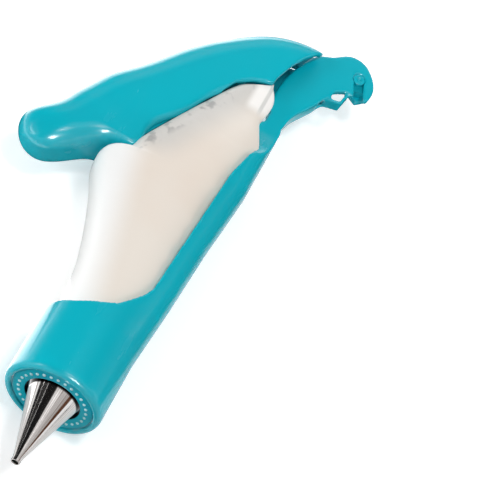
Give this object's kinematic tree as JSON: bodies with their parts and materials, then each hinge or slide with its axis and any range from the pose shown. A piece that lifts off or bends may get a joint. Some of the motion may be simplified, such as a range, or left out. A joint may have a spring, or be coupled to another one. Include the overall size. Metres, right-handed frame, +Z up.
{
  "type": "cake decorating syringe",
  "caption": "Lever squeezed piping bag holder: collar with a steel nozzle, half-pipe spine, hook head and a rounded lever pressing a filled bag.",
  "frame": {"origin": "centre of the nozzle's outlet, on the barrel axis", "axes": "+X runs back from the nozzle along the barrel, +Y from the spine towards the lever, +Z up through the tool's thickness as it lies on its side"},
  "size_m": [0.1965, 0.0927, 0.0308],
  "materials": {
    "teal_plastic": "gloss moulded",
    "ring_plastic": "gloss moulded",
    "polished_steel": "polished drawn steel",
    "clear_white_plastic": "moulded",
    "bag_film": "smooth film over icing",
    "cream_icing": "soft icing"
  },
  "bodies": {
    "holder": {"frame_body": "teal_plastic", "coupler": "clear_white_plastic", "piping_bag": "bag_film", "icing": "cream_icing"},
    "tip": {"nozzle": "polished_steel"},
    "ring": {"retaining_ring": "ring_plastic"},
    "lever": {"lever_shell": "teal_plastic", "lever_core": "teal_plastic", "hinge_pin": "teal_plastic"}
  },
  "joints": [
    {"name": "lever_hinge", "type": "hinge", "parent": "holder", "child": "lever", "pos_m": [0.1887, -0.03415, 0], "axis": [0, 0, 1], "range_deg": [-6, 20], "deforming": ["piping_bag", "icing"]},
    {"name": "tip_slide", "type": "slide", "parent": "holder", "child": "tip", "axis": [-1, 0, 0], "range_m": [0, 0.003]},
    {"name": "ring_turn", "type": "hinge", "parent": "tip", "child": "ring", "pos_m": [0.0271, 0, 0], "axis": [-1, 0, 0], "range_deg": [0, 540]}
  ],
  "couplings": [
    {"joint": "tip_slide", "follows": "ring_turn", "m_per_rad": 0.00031831}
  ]
}
